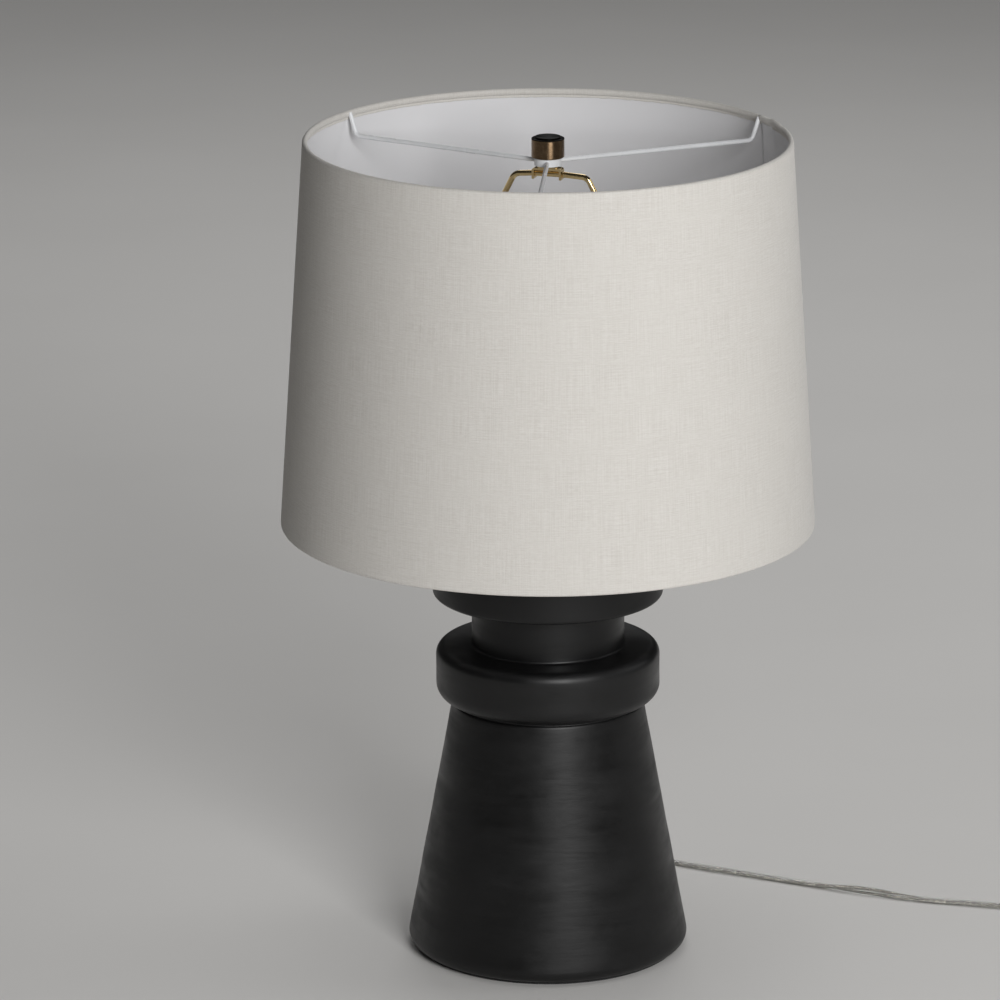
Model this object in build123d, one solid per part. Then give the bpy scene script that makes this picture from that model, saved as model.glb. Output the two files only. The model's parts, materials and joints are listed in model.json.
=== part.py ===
"""A table lamp: turned ceramic base, harp and spider, linen drum shade, bulb socket and flat cord.

Millimetres, +Z up. The origin is on the floor under the lamp's vertical axis, and -Y is the front.
"""
from build123d import *
import math
import os

# ---------- driving dimensions ----------
PAD = 2.0                      # felt under the foot
FOOT_R = 109.0                 # cone, carried down to the foot
SHOULDER_R, SHOULDER_Z = 73.0, 198.0
COLLAR_R, COLLAR_Z0, COLLAR_Z1 = 85.6, 200.0, 241.4
NECK_R = 58.3
DISC_R, DISC_Z0, DISC_Z1 = 87.8, 281.2, 322.0
WALL = 6.5                     # ceramic
RECESS_R, RECESS_Z = 96.0, 28.0

SHADE_Z0, SHADE_Z1 = 338.2, 635.3
SHADE_R0, SHADE_R1 = 203.2, 183.6
SKIN = 0.6                     # linen, and the lining behind it
RING_WIRE_R = 1.0
RIM = (3 * SKIN + 2 * RING_WIRE_R + 0.2) / 2     # half thickness of the folded rim
HEM_DEPTH = 8.0

ARM_WIRE_R = 1.7
ARM_ANGLES = (27.0, 147.0, 267.0)
ARM_HUB_Z = 617.8              # the arms droop slightly from the hub to their bend
ARM_BEND_R, ARM_BEND_Z = 174.0, 616.4
HUB_R, HUB_Z0, HUB_Z1 = 10.2, 615.1, 621.0
FINIAL_R, FINIAL_Z1 = 12.4, 635.7
FINIAL_TOP_R, FINIAL_TOP_Z = 9.8, 636.9
STUD_R, STUD_Z1 = 3.15, 632.0
STUD_FLANGE_R = 8.0

HARP_ANGLE = -16.0             # turn of the harp's plane about the axis
HARP_WIRE_R = 2.2
HARP_FOOT = 23.5               # half width at the feet
HARP_WAISTS = (57.0, 63.0)     # reach of the bow's left and right sides: it is bent a little off centre
HARP_SHOULDERS = (26.0, 30.6)
HARP_SHOULDER_Z = 607.0
HARP_TOP, HARP_TOP_HALF = 608.2, 12.0      # height and half length of the flat under the bracket
BRACKET_Z, BRACKET_T = HARP_TOP + 3.2, 1.6
SADDLE_Z = 352.0
PIN_TOP = 374.0                # top of the saddle's pins, where the harp wire starts
RUNNING = 0.08                 # radial clearance of a running fit

PIPE_R, PIPE_BORE_R = 4.9, 3.5
PIPE_Z0, PIPE_Z1 = 17.0, 363.0
SOCKET_Z = SADDLE_Z + 1.6      # underside of the socket cap
SHELL_R = 17.0
SHELL_Z0, SHELL_Z1 = 373.0, 416.0
KNOB_ANGLE = HARP_ANGLE - 90.0
STEM_R, STEM_Z = 2.0, 382.0
BULB_R, BULB_TOP = 30.0, 502.0
BULB_TIP = 391.2

CORD_W = 6.4                   # width of the flat cord
CORD_R = 2.5                   # round tube of about the flat cord's section
EXIT_Z = 13.0                  # height of the cord hole in the foot
RELIEF_START, RELIEF_END = 92.5, 134.0     # y of the strain relief's inner face and of its tip
# Where the cord lies between the strain relief and its coil: x, y, z.
CORD_ROUTE = [
    (0, 134, 13), (0, 149, 13), (3.5, 168.7, 8), (14.6, 186.5, 3), (34.5, 198, 2.5),
    (58.5, 198, 2.5), (85.2, 184.4, 2.5), (112.7, 168, 2.5), (158, 146.5, 2.5), (205, 124.5, 2.5),
    (248, 104, 2.5), (292, 86.5, 2.5), (335, 77, 2.5), (376, 65, 2.5), (404, 57.1, 2.5),
    (424.5, 50.9, 2.5),
]
COIL_X, COIL_Y = 412.0, 10.0
COIL_TURNS = 6.147
COIL_START = 73.0              # angle at which the cord joins the coil, turning clockwise
COIL_R_OUT, COIL_R_IN = 42.8, 23.2
COIL_LAYER = 3.5               # height from the lower turns to the upper ones
# The tail from the coil's upper layer to the plug.
CORD_TAIL = [(452.2, 24.6, 6.0), (459.8, 5.0, 6.6), (463.0, -13.1, 6.6)]
PLUG_W, PLUG_L, PLUG_T = 24.0, 21.0, 13.0
NECK_L = 12.0
BLADE_GAP, BLADE_W, BLADE_T, BLADE_L = 12.7, 6.35, 1.5, 16.0


# ---------- helpers ----------
def turned(*corners):
    """A solid turned about Z. A corner is (radius, height) or (radius, height, rounding)."""
    points = [(corner[0], 0, corner[1]) for corner in corners]
    roundings = [corner[2] if len(corner) > 2 else 0 for corner in corners]
    return revolve(make_face(FilletPolyline(*points, radius=roundings, close=True)), Axis.Z)


def tube(r_in, r_out, z0, z1):
    """A round sleeve about Z."""
    return turned((r_in, z0), (r_out, z0), (r_out, z1), (r_in, z1))


def bar(radius, start, end):
    """A round bar between two points."""
    line = Vector(*end) - Vector(*start)
    return extrude(Plane(origin=start, z_dir=line) * Circle(radius), line.length)


def bend_radii(points):
    """The largest arc that each corner's two runs allow."""
    radii = []
    for before, corner, after in zip(points, points[1:], points[2:]):
        run_in, run_out = Vector(*corner) - Vector(*before), Vector(*after) - Vector(*corner)
        half_turn = math.radians(run_in.get_angle(run_out)) / 2
        radii.append(0.45 * min(run_in.length, run_out.length) / math.tan(half_turn))
    return radii


def bent_bar(radius, points, radii):
    """A round bar swept along straight runs joined by arcs."""
    path = FilletPolyline(*points, radius=radii)
    return sweep(Plane(origin=path @ 0, z_dir=path % 0) * Circle(radius), path)


def cord_tube(points):
    """A stretch of free cord; prints its bends, and compares its volume with section x length."""
    radii = bend_radii(points)
    length = FilletPolyline(*points, radius=radii).length
    solid = bent_bar(CORD_R, points, radii)
    share = solid.volume / (math.pi * CORD_R ** 2 * length)
    print(f"cord stretch {length:.1f} mm, volume/section/length {share:.4f},",
          "bends", [round(r) for r in radii])
    return solid


def hexagon(across, hole_r, z0, z1):
    """A hex nut about Z."""
    flat = RegularPolygon(across / 2, 6, major_radius=False) - Circle(hole_r)
    return extrude(Pos(0, 0, z0) * flat, z1 - z0)


def around(solid, angle):
    """A solid turned about the lamp's axis."""
    return Rot(0, 0, angle) * solid


# ---------- base ----------
def cone_r(z):
    """Outer radius of the cone at a height."""
    return FOOT_R + (SHOULDER_R - FOOT_R) * (z - PAD) / (SHOULDER_Z - PAD)


def base_body():
    """Hollow turned ceramic: foot, cone, collar, neck and upper disc."""
    neck_in = NECK_R - WALL
    body = turned(
        (RECESS_R, PAD), (FOOT_R, PAD, 8), (SHOULDER_R, SHOULDER_Z, 5), (69, COLLAR_Z0 - 1.4),
        (COLLAR_R, COLLAR_Z0, 12), (COLLAR_R, COLLAR_Z1, 8), (NECK_R, COLLAR_Z1, 2),
        (NECK_R, DISC_Z0 - 0.4, 6), (DISC_R, DISC_Z0, 3), (DISC_R, DISC_Z1, 5),
        (PIPE_R + 0.2, DISC_Z1), (PIPE_R + 0.2, DISC_Z1 - WALL), (neck_in, DISC_Z1 - WALL, 8),
        (neck_in, COLLAR_Z0, 12), (cone_r(180) - WALL, 180, 20),
        (RECESS_R - 4, RECESS_Z + 10), (RECESS_R - 4, RECESS_Z), (RECESS_R, RECESS_Z))
    return body - bar(6.05, (0, 80, EXIT_Z), (0, 120, EXIT_Z))


def strain_relief():
    """Rubber: a flange each side of the foot's wall, and a tapered boot on the cord."""
    length = RELIEF_END - RELIEF_START
    section = FilletPolyline(
        (0, 0), (8, 0), (8, 2.8), (6, 2.8), (6, 15.9), (8, 15.9), (8, 17.6), (5.6, 18.2),
        (3.7, length), (0, length),
        radius=[0, 0.6, 0, 0, 0, 0.6, 0.6, 0, 0.8, 0], close=True)
    boot = revolve(make_face(section), Axis.Y)
    return Pos(0, RELIEF_START, EXIT_Z) * boot


def base_parts():
    """Pad, plate, pipe and the fasteners that clamp the ceramic between them."""
    plate_z = RECESS_Z - 2.5
    lead = [(0, RELIEF_START, EXIT_Z), (0, 80, EXIT_Z), (0, 55, 5), (0, 0, 5), (0, 0, PIPE_Z1 - 3)]
    return {
        "base_body": base_body(),
        "felt_pad": extrude(Circle(RECESS_R + 4), PAD),
        "base_plate": tube(PIPE_R + 0.2, RECESS_R - 0.4, plate_z, RECESS_Z),
        "bottom_lock_washer": tube(PIPE_R + 0.1, 9, plate_z - 1.2, plate_z),
        "bottom_nut": hexagon(17.5, PIPE_R, plate_z - 7.2, plate_z - 1.2),
        "lamp_pipe": tube(PIPE_BORE_R, PIPE_R, PIPE_Z0, PIPE_Z1),
        "pipe_bushing": turned(
            (2.6, PIPE_Z0 - 2.5), (6.2, PIPE_Z0 - 2.5, 0.6), (6.2, PIPE_Z0), (3.45, PIPE_Z0),
            (3.45, PIPE_Z0 + 6), (2.6, PIPE_Z0 + 6)),
        "inner_lead": bent_bar(2.4, lead, [20, 40, 9]),
        "strain_relief": strain_relief(),
        "vase_cap": turned(
            (PIPE_R, DISC_Z1), (27, DISC_Z1, 0.8), (25, DISC_Z1 + 4, 3), (12, DISC_Z1 + 7.5, 4),
            (PIPE_R, DISC_Z1 + 8)),
        "neck_spacer": turned(
            (PIPE_R, DISC_Z1 + 8), (9, DISC_Z1 + 8), (7.2, DISC_Z1 + 14, 3), (9.5, SADDLE_Z - 4, 1),
            (PIPE_R, SADDLE_Z - 4)),
        "top_locknut": hexagon(16, PIPE_R, SADDLE_Z - 4, SADDLE_Z),
    }


# ---------- cord ----------
def cord_coil():
    """The coil's outer shape: a flat ring lying on the floor."""
    half = CORD_W / 2
    ring = tube(COIL_R_IN - half, COIL_R_OUT + half, 0, 2 * CORD_R + COIL_LAYER)
    return Pos(COIL_X, COIL_Y, 0) * ring


def coil_length():
    """Length of the coil's turns, from the mean radius of the in-and-out spiral."""
    return math.pi * (COIL_R_OUT + COIL_R_IN) * COIL_TURNS


def plug_frame():
    """Plane at the plug's cord end; its local X points along the blades."""
    before, end = Vector(*CORD_TAIL[-2]), Vector(*CORD_TAIL[-1])
    run = end - before
    return Pos(*CORD_TAIL[-1]) * Rot(0, 0, math.degrees(math.atan2(run.Y, run.X)))


def plug_body():
    """Moulded plug: a rounded block and the tapered neck that the cord goes into."""
    neck = make_face(FilletPolyline(
        (0, 0), (0, 3.8), (NECK_L, 5.6), (NECK_L + 1, 5.6), (NECK_L + 1, 0), radius=0, close=True))
    block = Pos(NECK_L + PLUG_L / 2, 0, 0) * Box(PLUG_L, PLUG_W, PLUG_T)
    return plug_frame() * (revolve(neck, Axis.X) + fillet(block.edges(), 2.6))


def plug_blades():
    """Two flat blades."""
    start = NECK_L + PLUG_L
    blade = Pos(start + BLADE_L / 2, 0, 0) * Box(BLADE_L, BLADE_T, BLADE_W)
    return plug_frame() * Compound([Pos(0, side * BLADE_GAP / 2, 0) * blade for side in (-1, 1)])


def cord_parts():
    """The lead from the strain relief to the coil, the coil, and the tail with its plug."""
    coil = cord_coil()
    lead, tail = cord_tube(CORD_ROUTE), cord_tube(CORD_TAIL)
    free = sum(FilletPolyline(*route, radius=bend_radii(route)).length for route in (CORD_ROUTE, CORD_TAIL))
    print(f"coil {coil_length():.0f} mm, whole cord {free + coil_length():.0f} mm")
    return {
        "cord": lead - coil,
        "cord_coil": coil,
        "cord_tail": tail - coil,
        "plug_body": plug_body(),
        "plug_blades": plug_blades(),
    }


# ---------- socket ----------
def harp_saddle():
    """Strip bent into a U, with a round pin on each arm."""
    outer, inner, top = HARP_FOOT + 0.8, HARP_FOOT - 0.8, PIN_TOP - 8
    floor = SADDLE_Z + 1.6
    outline = FilletPolyline(
        (-outer, 0, top), (-outer, 0, SADDLE_Z), (outer, 0, SADDLE_Z), (outer, 0, top),
        (inner, 0, top), (inner, 0, floor), (-inner, 0, floor), (-inner, 0, top),
        radius=[0, 4, 4, 0, 0, 2.4, 2.4, 0], close=True)
    strip = extrude(make_face(outline), 5.5, both=True)
    strip -= bar(PIPE_R, (0, 0, SADDLE_Z - 1), (0, 0, floor + 1))
    for side in (-1, 1):
        strip += bar(HARP_WIRE_R, (side * HARP_FOOT, 0, top), (side * HARP_FOOT, 0, PIN_TOP))
    return around(strip, HARP_ANGLE)


def socket_shell(r_out, wall, z0, z1, hole_r):
    """Thin sleeve with a round hole for the switch stem."""
    sleeve = tube(r_out - wall, r_out, z0, z1)
    return sleeve - around(bar(hole_r, (5, 0, STEM_Z), (30, 0, STEM_Z)), KNOB_ANGLE)


def socket_interior():
    """Moulded body that carries the contacts and the switch."""
    body = turned((0, 366), (11, 366), (11, 377), (13.5, 378), (13.5, 390), (0, 390))
    return body - around(bar(STEM_R + RUNNING, (5, 0, STEM_Z), (30, 0, STEM_Z)), KNOB_ANGLE)


def screw_pair(radius, depth, at_r, z):
    """Two identical round screw heads, one each side."""
    head = bar(radius, (at_r, 0, z), (at_r + depth, 0, z))
    return Compound([around(head, HARP_ANGLE + side) for side in (0, 180)])


def socket_leads():
    """The two short wires from the pipe up to the terminal screws."""
    wire = bent_bar(0.9, [(1.2, 0, 360), (1.2, 0, 364.6), (12.1, 0, 364.6), (12.1, 0, 369.6)], [1.8, 1.8])
    return Compound([around(wire, HARP_ANGLE + side) for side in (0, 180)])


def socket_parts():
    """Medium screw lampholder with a turn switch."""
    set_screw = around(bar(1.6, (12.2, 0, SOCKET_Z + 4), (19, 0, SOCKET_Z + 4)), KNOB_ANGLE)
    cap = turned(
        (PIPE_R, SOCKET_Z), (11, SOCKET_Z, 1), (12, SOCKET_Z + 8, 3), (SHELL_R + 0.9, SOCKET_Z + 13, 3),
        (SHELL_R + 0.9, SHELL_Z0 + 5), (SHELL_R + 0.1, SHELL_Z0 + 5), (SHELL_R + 0.1, SOCKET_Z + 13.8, 2),
        (11, SOCKET_Z + 9.4, 2), (PIPE_R, SOCKET_Z + 8))
    return {
        "harp_saddle": harp_saddle(),
        "socket_cap": cap - set_screw,
        "socket_set_screw": set_screw,
        "socket_interior": socket_interior(),
        "screw_shell": tube(13.3, 13.9, 390, SHELL_Z1 - 2),
        "centre_contact": turned((0, 390), (4, 390), (4, 390.9), (0, 390.9)),
        "terminal_screws": screw_pair(2.8, 1.6, 11, 372.6),
        "socket_leads": socket_leads(),
        "socket_liner": socket_shell(SHELL_R - 0.7, 0.6, SHELL_Z0, SHELL_Z1 - 1.5, 3.2),
        "socket_shell": socket_shell(SHELL_R, 0.6, SHELL_Z0, SHELL_Z1, 3.0),
    }


def switch_parts():
    """Stem and fluted knob of the turn switch."""
    knob = bar(6, (24, 0, STEM_Z), (36, 0, STEM_Z)) - bar(STEM_R, (23, 0, STEM_Z), (33, 0, STEM_Z))
    return {
        "switch_stem": around(bar(STEM_R, (6, 0, STEM_Z), (33, 0, STEM_Z)), KNOB_ANGLE),
        "switch_knob": around(knob, KNOB_ANGLE),
    }


def bulb_parts():
    """Household bulb: glass, screw cap, black insulator and tip."""
    centre, neck_z, wall = BULB_TOP - BULB_R, 414.0, 0.8

    def balloon(inset):
        """Half outline of the glass as a face, at an inset from its outside."""
        r = BULB_R - inset
        tilt = math.radians(-22)
        top, side = (0, 0, centre + r), (r * math.cos(tilt), 0, centre + r * math.sin(tilt))
        middle = (r * math.cos(math.radians(40)), 0, centre + r * math.sin(math.radians(40)))
        neck = (12.8 - inset, 0, neck_z)
        corner = (12.8 - inset, 0, neck_z + 6)
        return make_face(Curve() + [
            ThreePointArc(top, middle, side),
            Polyline(side, corner, neck, (0, 0, neck_z), top),
        ])

    glass = revolve(balloon(0), Axis.Z) - revolve(balloon(wall), Axis.Z)
    return {
        "bulb_glass": glass,
        "bulb_cap": turned(
            (9, 394.5), (12.2, 396.5, 1), (13.0, 398.5, 1), (13.0, neck_z), (12.4, neck_z), (12.4, 399),
            (9, 396)),
        "bulb_insulator": turned((4.6, BULB_TIP + 1), (9, 394.5), (9, 396), (4.6, 396)),
        "bulb_contact": turned(
            (0, BULB_TIP), (3.4, BULB_TIP, 0.5), (4.6, BULB_TIP + 1.2), (4.6, 394), (0, 394)),
    }


# ---------- harp ----------
def harp_wire():
    """Closed-topped wire bow around the bulb."""
    def side(way, waist, shoulder):
        return [
            (way * HARP_FOOT, 0, PIN_TOP + 0.2), (way * HARP_FOOT, 0, 398), (way * waist, 0, 450),
            (way * waist, 0, 545), (way * shoulder, 0, HARP_SHOULDER_Z), (way * HARP_TOP_HALF, 0, HARP_TOP)]

    left, right = (side(way, *reach) for way, *reach in zip((-1, 1), HARP_WAISTS, HARP_SHOULDERS))
    radii = [22, 60, 120, 7, 60]
    return around(bent_bar(HARP_WIRE_R, right + left[::-1], radii + radii[::-1]), HARP_ANGLE)


def harp_bracket():
    """Folded plate whose two ears hold the wire."""
    half, low = 11.4, BRACKET_Z - 6.8
    top, inner = BRACKET_Z + BRACKET_T, half - BRACKET_T
    outline = FilletPolyline(
        (-half, 0, low), (-half, 0, top), (half, 0, top), (half, 0, low),
        (inner, 0, low), (inner, 0, BRACKET_Z), (-inner, 0, BRACKET_Z), (-inner, 0, low),
        radius=[0, 2, 2, 0, 0, 0.6, 0.6, 0], close=True)
    plate = extrude(make_face(outline), 4.6, both=True)
    plate -= bar(HARP_WIRE_R + 0.05, (-20, 0, HARP_TOP), (20, 0, HARP_TOP))
    plate -= bar(2.55, (0, 0, low), (0, 0, top + 1))
    return around(plate, HARP_ANGLE)


def harp_stud():
    """Threaded stud that turns in the bracket; its flange carries the shade's hub."""
    seat = BRACKET_Z + BRACKET_T + 0.1
    return turned(
        (0, BRACKET_Z - 0.8), (4, BRACKET_Z - 0.8), (4, BRACKET_Z - 0.1), (2.5, BRACKET_Z - 0.1),
        (2.5, seat), (STUD_FLANGE_R, seat), (STUD_FLANGE_R, HUB_Z0 - 0.1, 0.4), (STUD_R, HUB_Z0 - 0.1),
        (STUD_R, STUD_Z1, 0.5), (0, STUD_Z1))


def harp_parts():
    """Bow, bracket, swivelling stud and the two locking ferrules."""
    parts = {"harp_wire": harp_wire(), "harp_bracket": harp_bracket(), "harp_stud": harp_stud()}
    bore = HARP_WIRE_R + RUNNING
    ferrule = turned((bore, 366.3), (4.0, 366.3, 0.8), (4.0, 378.3, 0.8), (bore, 378.3))
    for side, name in ((-1, "left"), (1, "right")):
        parts[f"harp_ferrule_{name}"] = around(Pos(side * HARP_FOOT, 0, 0) * ferrule, HARP_ANGLE)
    return parts


# ---------- shade ----------
def shade_r(z):
    """Outer radius of the linen at a height."""
    return SHADE_R0 + (SHADE_R1 - SHADE_R0) * (z - SHADE_Z0) / (SHADE_Z1 - SHADE_Z0)


def rim_height(up):
    """Height of the ring wire's centre, at the top or the bottom."""
    return SHADE_Z1 - RIM if up else SHADE_Z0 + RIM


def hem(up):
    """Linen folded over the ring wire and tucked down against the lining."""
    way, half, lining = (1 if up else -1), RIM, 2 * SKIN
    back = HEM_DEPTH - half

    def at(depth, height):
        z = rim_height(up) + way * height
        return (shade_r(z) - depth, 0, z)

    outline = Curve() + [
        ThreePointArc(at(0, 0), at(half, half), at(2 * half, 0)),
        Polyline(at(2 * half, 0), at(2 * half, -1.2), at(lining + SKIN, -3.4), at(lining + SKIN, -back),
                 at(lining, -back), at(lining, -3.0), at(2 * half - SKIN, -0.9), at(2 * half - SKIN, 0)),
        ThreePointArc(at(2 * half - SKIN, 0), at(half, half - SKIN), at(SKIN, 0)),
        Line(at(SKIN, 0), at(0, 0)),
    ]
    return revolve(make_face(outline), Axis.Z)


def ring_wire(up):
    """Wire hoop inside the folded rim."""
    r = shade_r(rim_height(up)) - 2 * SKIN - RING_WIRE_R - 0.1
    z = rim_height(up)
    return Pos(0, 0, z) * Torus(r, RING_WIRE_R)


def cone_skin(depth, thickness):
    """A cone-shaped skin between the two rims, at a depth inside the linen's outside."""
    z0, z1 = rim_height(False), rim_height(True)
    outer = [(shade_r(z) - depth, z) for z in (z0, z1)]
    inner = [(r - thickness, z) for r, z in reversed(outer)]
    return turned(*outer, *inner)


def spider_arm(angle, keep_off):
    """Straight arm from the hub that bends up to the top ring."""
    end_z = rim_height(True) + 0.6
    end_r = shade_r(end_z) - 2 * RIM + 0.5
    points = [(6, 0, ARM_HUB_Z), (ARM_BEND_R, 0, ARM_BEND_Z), (end_r, 0, end_z)]
    arm = around(bent_bar(ARM_WIRE_R, points, [5.5]), angle) - keep_off
    return arm.solids().sort_by(SortBy.VOLUME)[-1]


def shade_parts():
    """Linen, lining, hoops, hems and the three-armed spider."""
    hub = tube(STUD_R + 0.5, HUB_R, HUB_Z0, HUB_Z1)
    top_hem, top_wire = hem(True), ring_wire(True)
    solid_hub = extrude(Pos(0, 0, HUB_Z0 - 1) * Circle(HUB_R), HUB_Z1 - HUB_Z0 + 2)
    parts = {
        "shade_fabric": cone_skin(0, SKIN),
        "shade_liner": cone_skin(SKIN, SKIN),
        "top_ring_wire": top_wire,
        "bottom_ring_wire": ring_wire(False),
        "top_hem": top_hem,
        "bottom_hem": hem(False),
        "spider_hub": hub,
    }
    for number, angle in enumerate(ARM_ANGLES, 1):
        parts[f"spider_arm_{number}"] = spider_arm(angle, [solid_hub, top_hem, top_wire])
    return parts


def finial():
    """Blind threaded cap with a slightly raised top disc."""
    bore_z = HUB_Z1 + 12
    return turned(
        (0, bore_z), (STUD_R + RUNNING, bore_z), (STUD_R + RUNNING, HUB_Z1),
        (FINIAL_R, HUB_Z1, 0.5), (FINIAL_R, FINIAL_Z1, 0.9), (FINIAL_TOP_R, FINIAL_Z1),
        (FINIAL_TOP_R, FINIAL_TOP_Z, 0.5), (0, FINIAL_TOP_Z))


# ---------- output ----------
os.makedirs("parts", exist_ok=True)
all_parts = {
    **base_parts(), **cord_parts(), **socket_parts(), **switch_parts(), **bulb_parts(),
    **harp_parts(), **shade_parts(), "finial": finial(),
}
for node, shape in all_parts.items():
    export_step(shape, f"parts/{node}.step")
print(len(all_parts), "nodes")
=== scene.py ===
"""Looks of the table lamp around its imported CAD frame.

Outlines and driving dimensions are in millimetres; Blender objects are in metres.
"""

import json
import math

import bmesh
import bpy
import numpy as np
from mathutils import Matrix, Vector, noise as simplex


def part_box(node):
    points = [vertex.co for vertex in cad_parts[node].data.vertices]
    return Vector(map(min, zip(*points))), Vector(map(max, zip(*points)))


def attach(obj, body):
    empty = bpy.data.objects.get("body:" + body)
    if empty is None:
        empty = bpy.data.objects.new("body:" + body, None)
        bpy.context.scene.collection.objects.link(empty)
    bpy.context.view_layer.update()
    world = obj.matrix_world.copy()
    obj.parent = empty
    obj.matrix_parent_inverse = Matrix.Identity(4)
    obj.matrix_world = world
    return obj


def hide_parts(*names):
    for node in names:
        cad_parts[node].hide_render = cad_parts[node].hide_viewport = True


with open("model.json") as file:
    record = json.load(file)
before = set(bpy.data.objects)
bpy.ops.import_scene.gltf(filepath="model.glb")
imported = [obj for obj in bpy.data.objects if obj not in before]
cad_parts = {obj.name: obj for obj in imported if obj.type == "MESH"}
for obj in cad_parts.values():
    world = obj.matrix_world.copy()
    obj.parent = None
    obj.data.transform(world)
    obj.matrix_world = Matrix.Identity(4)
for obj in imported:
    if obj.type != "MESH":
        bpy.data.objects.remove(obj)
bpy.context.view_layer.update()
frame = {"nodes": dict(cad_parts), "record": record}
MM = 0.001

# ---------- the lamp's driving dimensions, as in the CAD ----------
PAD = 2.0                      # felt under the foot
FOOT_R, SHOULDER_R, SHOULDER_Z = 109.0, 73.0, 198.0
COLLAR_R, COLLAR_Z0, COLLAR_Z1 = 85.6, 200.0, 241.4
NECK_R, DISC_R, DISC_Z0, DISC_Z1 = 58.3, 87.8, 281.2, 322.0
WALL = 6.5                     # ceramic
RECESS_R, RECESS_Z, PIPE_R = 96.0, 28.0, 4.9

SHADE_Z0, SHADE_Z1 = 338.2, 635.3
SHADE_R0, SHADE_R1 = 203.2, 183.6
SKIN = 0.6                     # linen, and the lining behind it
RIM = 2.0                      # half thickness of the folded rim
HEM_DEPTH = 7.4                # how far the linen comes back inside each rim
SEAM_ANGLE = 21.9              # where the linen and the lining overlap themselves
SEAM_LAP = 16.0
SEAM_STEP = SKIN + 0.08        # how far the lap stands off

HARP_ANGLE = -16.0             # turn of the harp's plane about the axis
KNOB_ANGLE = HARP_ANGLE - 90.0

CORD_W, CORD_T = 6.4, 3.3      # flat cord: width and thickness
LOBE = CORD_T / 2              # radius of each half of the flat cord
CORD_Z = 2.5                   # height of the route where the cord lies on the floor
COIL_X, COIL_Y = 412.0, 10.0
COIL_TURNS = 6.147
COIL_START = 73.0              # angle at which the cord joins the coil, turning clockwise
COIL_R_OUT, COIL_R_IN = 42.8, 23.2
COIL_LAYER = 3.5               # height from the lower turns to the upper ones
TWIST_AT = (252.0, 101.0)      # where the flat cord turns over, x and y
TWIST_LENGTH = 110.0
THREAD_PITCH = 2.6             # screw thread of the bulb and its socket
# Where the cord lies: from the strain relief to the coil, and from the coil to the plug.
CORD_ROUTE = [
    (0, 134, 13), (0, 149, 13), (3.5, 168.7, 8), (14.6, 186.5, 3), (34.5, 198, 2.5),
    (58.5, 198, 2.5), (85.2, 184.4, 2.5), (112.7, 168, 2.5), (158, 146.5, 2.5), (205, 124.5, 2.5),
    (248, 104, 2.5), (292, 86.5, 2.5), (335, 77, 2.5), (376, 65, 2.5), (404, 57.1, 2.5),
    (424.5, 50.9, 2.5),
]
CORD_TAIL = [(452.2, 24.6, 6.0), (459.8, 5.0, 6.6), (463.0, -13.1, 6.6)]


# ---------- camera ----------
def add_camera():
    """Long lens, slightly above the shade, framed with the lamp right of the middle."""
    data = bpy.data.cameras.new("camera")
    data.lens, data.sensor_width = 216.0, 36.0
    data.shift_x = -0.0479
    data.clip_end = 60.0
    camera = bpy.data.objects.new("camera", data)
    camera.location = (0.0, -4.387, 1.599)
    camera.rotation_euler = (math.radians(90.0 - 15.84), 0.0, 0.0)
    bpy.context.collection.objects.link(camera)
    bpy.context.scene.camera = camera


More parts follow.
